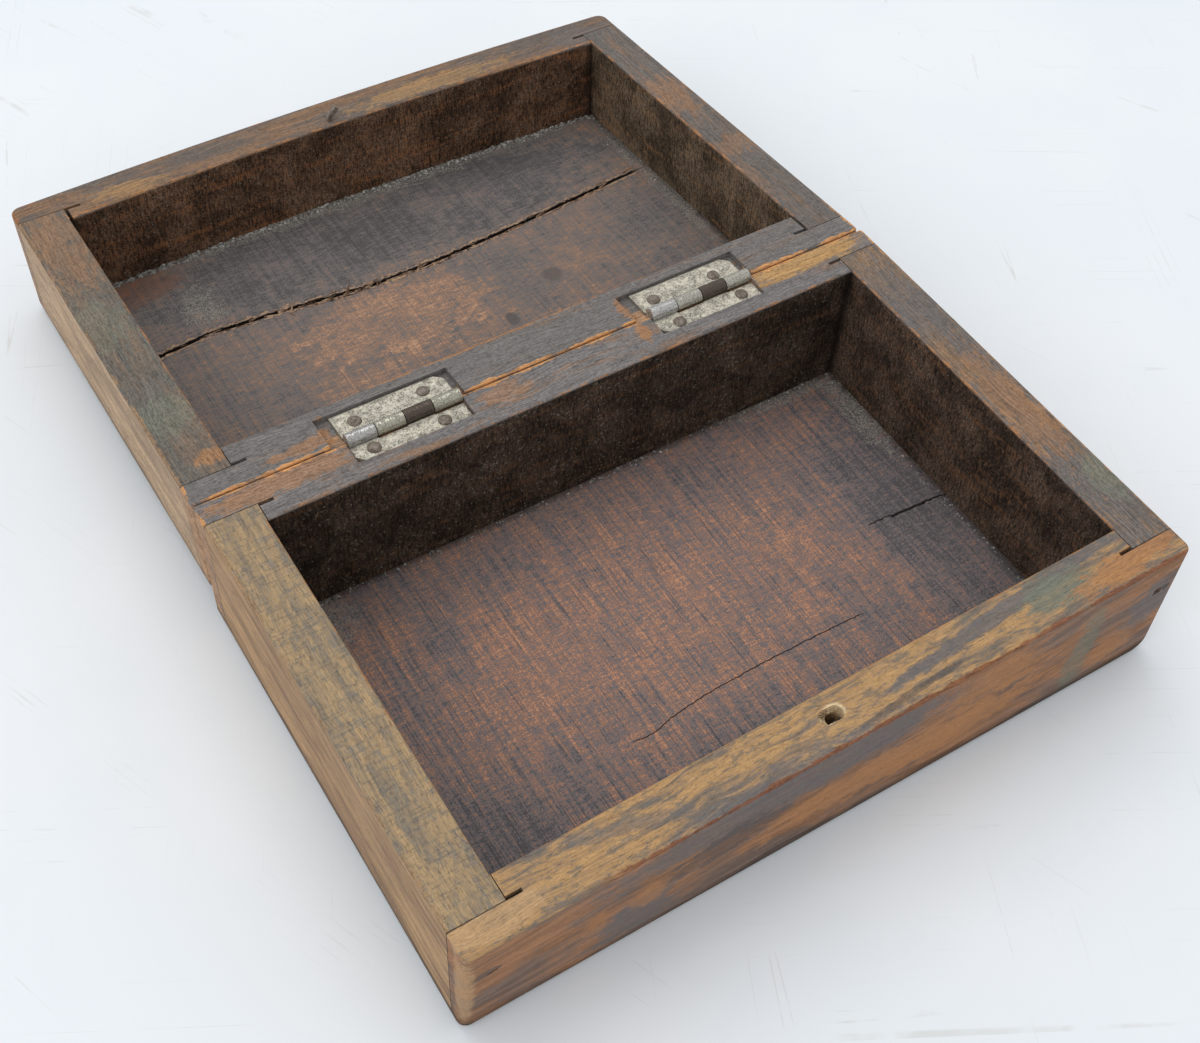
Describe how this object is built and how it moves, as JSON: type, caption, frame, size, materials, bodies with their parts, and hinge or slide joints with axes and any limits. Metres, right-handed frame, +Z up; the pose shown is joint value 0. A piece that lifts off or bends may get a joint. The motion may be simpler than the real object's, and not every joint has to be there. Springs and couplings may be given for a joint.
{
  "type": "wooden storage box",
  "caption": "Small wooden box for papers and keepsakes, lying open: a deep and a shallow tray with rabbeted, saw-cut corners, hinged along their long back rails.",
  "frame": {"origin": "middle of the base tray's underside, on the surface it lies on", "axes": "+X along the hinges to the right, +Y from the base tray towards the open lid, +Z up"},
  "size_m": [0.1594, 0.2098, 0.0358],
  "materials": {
    "rail_wood": "worn, aged",
    "board_wood": "sawn, dusty",
    "hinge_steel": "dull, slightly rusty",
    "iron_nails": "rusty"
  },
  "bodies": {
    "base": {"base_front_rail": "rail_wood", "base_back_rail": "rail_wood", "base_left_rail": "rail_wood", "base_right_rail": "rail_wood", "base_bottom_board": "board_wood", "base_corner_nails": "iron_nails", "base_board_nails": "iron_nails", "hinge_left_base_leaf": "hinge_steel", "hinge_right_base_leaf": "hinge_steel", "hinge_left_base_nails": "iron_nails", "hinge_right_base_nails": "iron_nails", "hinge_left_pin": "hinge_steel", "hinge_right_pin": "hinge_steel"},
    "lid": {"lid_front_rail": "rail_wood", "lid_back_rail": "rail_wood", "lid_left_rail": "rail_wood", "lid_right_rail": "rail_wood", "lid_top_board": "board_wood", "lid_corner_nails": "iron_nails", "lid_board_nails": "iron_nails", "lid_catch_nail": "iron_nails", "hinge_left_lid_leaf": "hinge_steel", "hinge_right_lid_leaf": "hinge_steel", "hinge_left_lid_nails": "iron_nails", "hinge_right_lid_nails": "iron_nails"}
  },
  "joints": [
    {"name": "lid_hinge", "type": "hinge", "parent": "base", "child": "lid", "pos_m": [0, 0.052, 0.03435], "axis": [1, 0, 0], "range_deg": [0, 183.6]}
  ]
}
